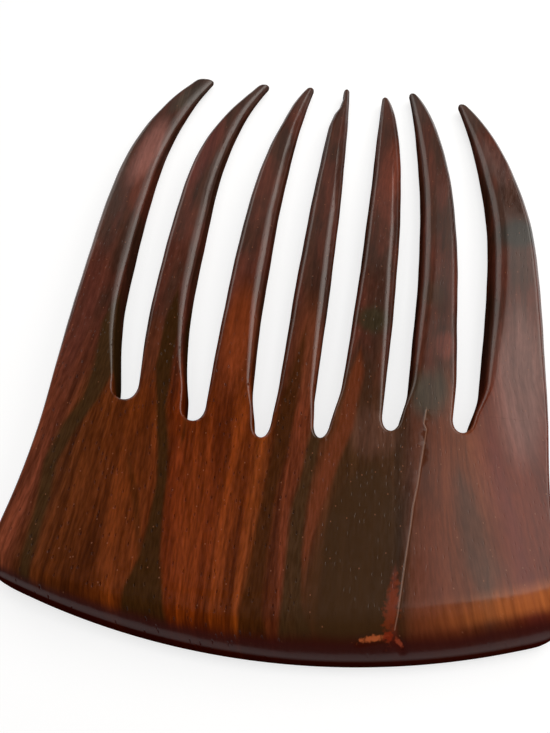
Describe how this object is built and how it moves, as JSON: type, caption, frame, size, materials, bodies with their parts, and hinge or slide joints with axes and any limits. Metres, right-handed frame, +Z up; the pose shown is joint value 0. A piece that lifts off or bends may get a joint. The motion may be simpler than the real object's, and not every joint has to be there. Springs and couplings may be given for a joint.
{
  "type": "afro pick",
  "caption": "Hand-carved one-piece wooden hair pick: a broad polished back with a convex bottom edge and long tapered tines that curve in towards each other at the tips.",
  "frame": {"origin": "on the underside that the pick lies on, at the middle of its length and width", "axes": "+Y from the convex bottom edge to the tine tips, +Z up out of the polished face, +X to the right as the face is seen with the tips up"},
  "size_m": [0.0982, 0.13, 0.009],
  "materials": {
    "rosewood": "polished"
  },
  "bodies": {
    "root": {"comb_back": "rosewood", "tine_1": "rosewood", "tine_2": "rosewood", "tine_3": "rosewood", "tine_4": "rosewood", "tine_5": "rosewood", "tine_6": "rosewood", "tine_7": "rosewood"}
  },
  "joints": []
}
